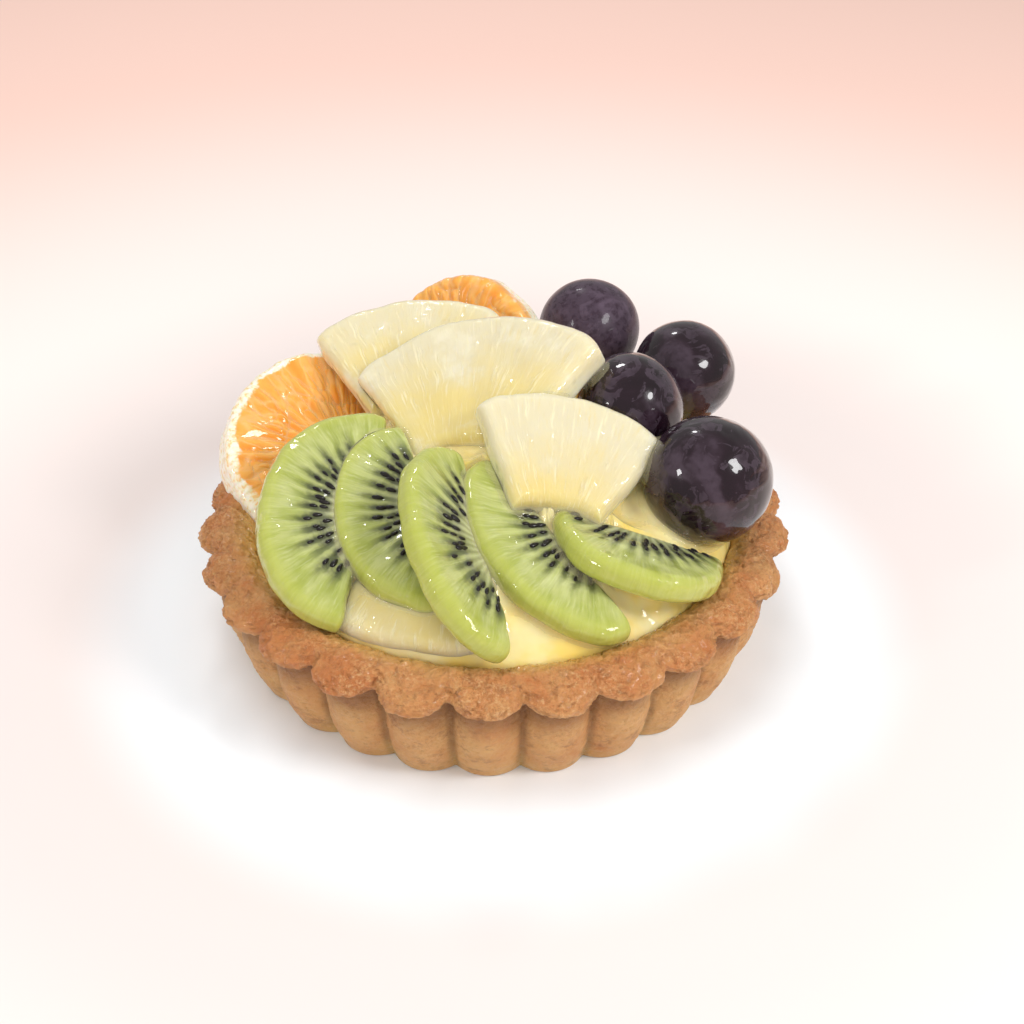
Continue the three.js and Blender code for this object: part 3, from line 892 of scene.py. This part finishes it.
def build_fruit(name, cutters):
    kind, fruit = name[:4], FRUIT[name]
    points, faces = plain_form(name, SPACING)
    place = placement(fruit)
    piece = add_piece(name + "_fine", points, faces, LOOKS[kind])
    if kind in RELIEF:
        normals = np.empty(len(points) * 3)
        piece.data.vertex_normals.foreach_get("vector", normals)
        growth = GROWTH[kind](fruit, points)
        lift = RELIEF[kind](growth, points * (1, 1, 0.5), seed_of(name))
        points = points + normals.reshape(-1, 3) * lift[:, None]
    piece.data.vertices.foreach_set("co", (moved(points, place) * MM).astype(np.float32).ravel())
    piece.data.update()
    for cutter in cutters:
        press = piece.modifiers.new("press", "BOOLEAN")
        press.operation, press.solver, press.object = "DIFFERENCE", "MANIFOLD", cutter
    if cutters:
        settle(piece)
    if kind in GROWTH:
        back = np.linalg.inv(place)
        own = moved(points_of(piece.data), back)
        store(piece.data, "growth", GROWTH[kind](fruit, own))
        if kind == "kiwi":
            store(piece.data, "soot", soot_of(own, seed_places(name)))
    else:
        store(piece.data, "bloom", np.full(len(piece.data.vertices), fruit["bloom"]))
    piece.data.shade_smooth()
    piece.data.set_sharp_from_angle(angle=math.radians(50))
    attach(piece, "root")
    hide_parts(name)
    return piece


def build_cutter(name):
    """A coarse copy of a piece, grown by the press gap"""
    points, faces = plain_form(name, 1.1, PRESS_GAP)
    cutter = add_piece("press_" + name, moved(points, placement(FRUIT[name])), faces, LOOKS[name[:4]])
    return cutter


def near(first, second):
    a, b = points_of(first.data), points_of(second.data)
    return bool(np.all(a.min(0) < b.max(0)) and np.all(b.min(0) < a.max(0)))


# %% Fruit: all of it
names = list(FRUIT)
presses = {name: build_cutter(name) for name in names}
fruit_pieces = {}
for order, name in enumerate(names):
    later = [presses[other] for other in names[order + 1 :] if near(presses[name], presses[other])]
    fruit_pieces[name] = build_fruit(name, later)
for cutter in presses.values():
    bpy.data.objects.remove(cutter)
print("fruit faces:", {name: len(piece.data.polygons) for name, piece in fruit_pieces.items()})


# %% Seeds: a tree that sets one seed on every seed place
def seed_look():
    look = Look("Kiwi seed")
    where = look.where()
    shade = look.mix(look.noise(where, 900.0, 2.0), "0b0a0c", "26201c")
    coat = dict(Coat_Weight=0.5, Coat_Roughness=0.12)
    return look.set(Base_Color=shade, Roughness=0.45, Specular_IOR_Level=0.2, **coat)


def seed_tree():
    """Each point carries the seed's turn and size. A seed is a ball drawn out to a blunt drop"""
    group = node_group("Kiwi seeds", [("Places", "Geometry", None), ("Seed length", "Float", 2.0)], "Seeds")
    t = Tree(group, "GeometryNode")
    given = t.add("NodeGroupInput").node.outputs
    ball = t.add("MeshIcoSphere", {"Radius": 1.0, "Subdivisions": 3})
    where = t.add("GeometryNodeInputPosition")
    x, y, z = t.add("ShaderNodeSeparateXYZ", {0: where}).node.outputs[:3]
    thin = t.times_plus(x, 0.12, 0.42)
    drop = t.add("ShaderNodeCombineXYZ", {0: x, 1: t.times(y, thin), 2: t.times(z, 0.36)})
    ball = t.add("SetPosition", {"Geometry": ball, "Position": drop})
    size = t.add("InputNamedAttribute", {"Name": "size"}, data_type="FLOAT")
    turn = t.add("InputNamedAttribute", {"Name": "turn"}, data_type="FLOAT_VECTOR")
    half = t.times(given["Seed length"], 0.5 * MM, size)
    inputs = {"Points": given["Places"], "Instance": ball, "Rotation": turn, "Scale": half}
    seeds = t.add("InstanceOnPoints", inputs)
    seeds = t.add("RealizeInstances", {"Geometry": seeds})
    seeds = t.add("SetShadeSmooth", {"Geometry": seeds})
    seeds = t.add("SetMaterial", {"Geometry": seeds, "Material": seed_look()})
    group.links.new(seeds, group.nodes.new("NodeGroupOutput").inputs[0])
    return group


# %% Seeds: where they show
SEED_RAY, SEED_SINK_LIMIT = 4.0, 1.2  # the ray starts this high, and a face deeper than this is covered


def build_seeds():
    """Seeds lie just under the upper face. Where another slice covers that face there are none"""
    covers = {name: search_tree(piece) for name, piece in fruit_pieces.items()}
    spots, turns, sizes = [], [], []
    for name in [name for name in FRUIT if name.startswith("kiwi")]:
        place = Matrix(placement(FRUIT[name]).tolist())
        upward = place.to_3x3() @ Vector((0, 0, 1))
        rng = np.random.default_rng(seed_of(name) + 5)
        for x, y, bearing in seed_places(name):
            above = (place @ Vector((x, y, SEED_RAY))) * MM
            hit, _, _, distance = covers[name].ray_cast(above, -upward)
            if hit is None or abs(distance / MM - SEED_RAY) > SEED_SINK_LIMIT:
                continue
            spots.append(hit / MM + upward * 0.02)
            turns.append((place.to_3x3() @ Matrix.Rotation(bearing, 3, "Z")).to_euler())
            sizes.append(rng.uniform(0.65, 1.1))
    places = bpy.data.meshes.new("seed_places")
    places.from_pydata([tuple(spot * MM) for spot in spots], [], [])
    store(places, "turn", [tuple(turn) for turn in turns])
    store(places, "size", sizes)
    seeds = add_object("kiwi_seeds", places)
    seeds.modifiers.new("Kiwi seeds", "NODES").node_group = seed_tree()
    settle(seeds)
    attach(seeds, "root")
    print("seeds:", len(spots))
    return seeds


seeds = build_seeds()

# %% [markdown]
# ## The custard
# The custard is one dome on rings of points. It stands a little higher against every piece of fruit
# that sits in it, as a soft set cream does, sinks between them and stays below their upper faces.

# %% Custard
def custard_look():
    look = Look("Glazed custard")
    where = look.where()
    cloud = look.noise(where, 120.0, 3.0, 0.5)
    cream = look.mix(look.spread(cloud, 0.35, 0.65), "fbdc78", "fdecb0")
    return wet_flesh(look, cream, (0.4, (1.0, 0.8, 0.3), 0.002), 1.0, Roughness=0.3, Coat_Roughness=0.04)


def custard_lift(dome):
    """How far a grid of dome points rises beside the fruit, and the height it must stay under"""
    reach, rise, most, cover, above = 5.0, 2.4, 3.0, 0.6, 80
    beside_steps, ease_rounds = 4, 3
    trees = [search_tree(piece) for piece in fruit_pieces.values()]
    lift, limit = np.zeros(dome.shape[:2]), np.full(dome.shape[:2], np.inf)
    for place in np.ndindex(*lift.shape):
        gaps = [tree.find_nearest(Vector(dome[place] * MM), reach * MM)[3] for tree in trees]
        lift[place] = min(most, sum(rise * (1 - gap / MM / reach) ** 2 for gap in gaps if gap is not None))
        sky = Vector((*dome[place][:2], above)) * MM
        tops = [tree.ray_cast(sky, Vector((0, 0, -1)))[0] for tree in trees]
        limit[place] = min([top.z / MM - cover for top in tops if top is not None], default=np.inf)
    # between two pieces the custard stays level with their upper edges
    beside = limit
    for _ in range(beside_steps):
        around = [np.roll(beside, step, axis) for axis in (0, 1) for step in (-1, 1)]
        beside = np.minimum(beside, np.min(around, axis=0))
    limit = np.where(np.isinf(limit), beside + cover, limit)
    for _ in range(ease_rounds):
        lift = (lift + sum(np.roll(lift, step, 1) for step in (-1, 1))) / 3
        lift[1:-1] = (lift[:-2] + lift[1:-1] + lift[2:]) / 3
    return lift, limit


def build_custard():
    edge, foot, shore = WELL_RADIUS + 0.2, WELL_FOOT_RADIUS - 0.32, 0.8
    base, side_height = FLOOR_THICKNESS + 0.32, CUSTARD_EDGE_HEIGHT - FLOOR_THICKNESS - 0.7
    columns = 420
    inward = np.linspace(0, 1, columns // 5)[1:-1]
    profile = [(foot * k / 6, base) for k in range(1, 7)]
    profile += [(foot + (edge - foot) * k / 8, base + side_height * k / 8) for k in range(1, 9)]
    below = len(profile)
    rise = CUSTARD_DOME_HEIGHT - CUSTARD_EDGE_HEIGHT
    for k in inward:
        dome_share = math.sin(k * math.pi / 2) ** DOME_FULLNESS
        profile.append((edge * (1 - k), CUSTARD_EDGE_HEIGHT + rise * dome_share))
    angle = np.linspace(0, 2 * np.pi, columns, endpoint=False)
    circle = np.column_stack([np.cos(angle), np.sin(angle)])
    rings = np.array([np.column_stack([r * circle, np.full(columns, z)]) for r, z in profile])
    dome = rings[below:]
    flat = dome.reshape(-1, 3) * (1, 1, 0)
    dome[:, :, 2] += (0.3 * swell(flat, 13, 77) + 0.12 * swell(flat, 5, 78)).reshape(dome.shape[:2])
    lift, limit = custard_lift(dome)
    inland = np.clip((edge - np.hypot(dome[:, :, 0], dome[:, :, 1])) / shore, 0, 1)
    dome[:, :, 2] = np.minimum(dome[:, :, 2] + lift * inland, limit)
    peak = (0, 0, dome[-1, :, 2].min())
    points = np.vstack([[(0, 0, base)], rings.reshape(-1, 3), [peak]])
    faces = skin_faces(columns, len(rings), inside_out=True)
    custard = add_piece("custard_fine", points, faces, custard_look())
    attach(custard, "root")
    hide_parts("custard")
    return custard


custard = build_custard()
print("custard:", len(custard.data.polygons), "faces")

# %% [markdown]
# ## The glaze
# Brushed glaze runs into every corner between the pieces and sets there. The film is found by
# wrapping all the fruit and the custard in one even skin and smoothing it: the skin sinks under the
# fruit wherever the fruit is flat or bulges out, and bridges the corners, where it shows as glaze.

# %% Glaze
GLAZE_CELL = 0.69
GLAZE_SINK = 0.16


def glaze_look():
    look = Look("Clear glaze")
    return look.set(
        Base_Color=colour("f8efbe"),
        Roughness=0.1,
        Alpha=0.16,
        Subsurface_Weight=0.0,
        Coat_Weight=1.0,
        Coat_Roughness=0.03,
        Coat_Normal=glaze_waves(look, 0.9),
    )


def build_glaze():
    pieces = [*fruit_pieces.values(), custard]
    points, faces = [], []
    for piece in pieces:
        start = sum(len(p) for p in points)
        points.append(points_of(piece.data))
        faces += [tuple(start + corner for corner in face.vertices) for face in piece.data.polygons]
    glaze = add_piece("glaze", np.vstack(points), faces, glaze_look())
    wrap = glaze.modifiers.new("wrap", "REMESH")
    wrap.mode, wrap.voxel_size, wrap.use_smooth_shade = "VOXEL", GLAZE_CELL * MM, True
    soften = glaze.modifiers.new("soften", "SMOOTH")
    soften.factor, soften.iterations = 0.5, 16
    sink = glaze.modifiers.new("sink", "DISPLACE")
    sink.mid_level, sink.strength = 0.0, -GLAZE_SINK * MM
    settle(glaze)
    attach(glaze, "root")
    return glaze


glaze = build_glaze()
print("glaze:", len(glaze.data.polygons), "faces")

# %% [markdown]
# ## Floor, light and camera
# The tart stands on a pale, faintly pink floor in soft light. Close round the tart the floor is painted
# nearly white, a painted pool of light over its contact shadow. Two broad lamps leave no image of themselves,
# and three small ones make the glints; the one at the right front shows on the grapes.

# %% Floor and light
FLOOR_WIDTH = 6000


def build_floor():
    look = Look("Pale floor")
    where = look.where()
    far = look.add("VectorMath", {0: where}, output="Value", operation="LENGTH")
    # nearly white and a little blue close round the tart: a painted pool of light that lifts the contact
    # shadow and the warm light the crust throws into it; further out the floor's own pale pink
    tone_and_painted_light = look.over(
        "f8fcff",
        (look.spread(far, 0.062, 0.085), "ede1dd"),
        (look.spread(far, 0.095, 0.15), "fff0ea"),
        (look.spread(far, 0.14, 0.32), "ffd9cb"),
    )
    half = FLOOR_WIDTH / 2
    corners = [(-half, -half, 0), (half, -half, 0), (half, half, 0), (-half, half, 0)]
    floor = add_piece("floor", corners, [(0, 1, 2, 3)], look.set(Base_Color=tone_and_painted_light, Roughness=0.9))


def lamp(name, place, aim, size, power, mirrored=True):
    """A disc lamp. A lamp that isn't mirrored leaves no image of itself on wet fruit"""
    light = bpy.data.lights.new(name, "AREA")
    light.shape, light.size, light.energy = "DISK", size, power
    stand = add_object(name, light)
    stand.visible_glossy = mirrored
    stand.location = place
    stand.rotation_euler = (Vector(aim) - Vector(place)).to_track_quat("-Z", "Y").to_euler()


build_floor()
world = bpy.data.worlds.new("Soft room")
world.use_nodes = True
world.node_tree.nodes["Background"].inputs["Color"].default_value = (1.0, 0.985, 0.975, 1)
world.node_tree.nodes["Background"].inputs["Strength"].default_value = 0.46
bpy.context.scene.world = world
lamp("broad", (-0.16, -0.02, 0.8), (0, 0, 0.02), 0.45, 2.2, mirrored=False)
lamp("front", (0.12, -0.7, 0.36), (0, 0, 0.02), 0.35, 1.25, mirrored=False)
lamp("left", (-0.5, -0.3, 0.34), (0, 0, 0.03), 0.1, 0.5)
lamp("back", (-0.1, 0.45, 0.5), (0, 0, 0.03), 0.1, 0.45)
lamp("right", (0.4, -0.22, 0.42), (0, 0, 0.03), 0.19, 1.5)
bpy.context.scene.view_settings.view_transform = "Standard"

# %% Camera
VIEW_DISTANCE, VIEW_ELEVATION, VIEW_AIM, VIEW_LENS = 300, 35.7, (3.47, 8.5, 15.0), 54.14
tilt = math.radians(VIEW_ELEVATION)
camera = add_object("camera", bpy.data.cameras.new("camera"))
camera.data.sensor_width, camera.data.lens = 36, VIEW_LENS
camera.data.clip_start = 0.01
back = Vector((0, -math.cos(tilt), math.sin(tilt)))
camera.location = (Vector(VIEW_AIM) + back * VIEW_DISTANCE) * MM
camera.rotation_euler = (-back).to_track_quat("-Z", "Y").to_euler()
bpy.context.scene.camera = camera
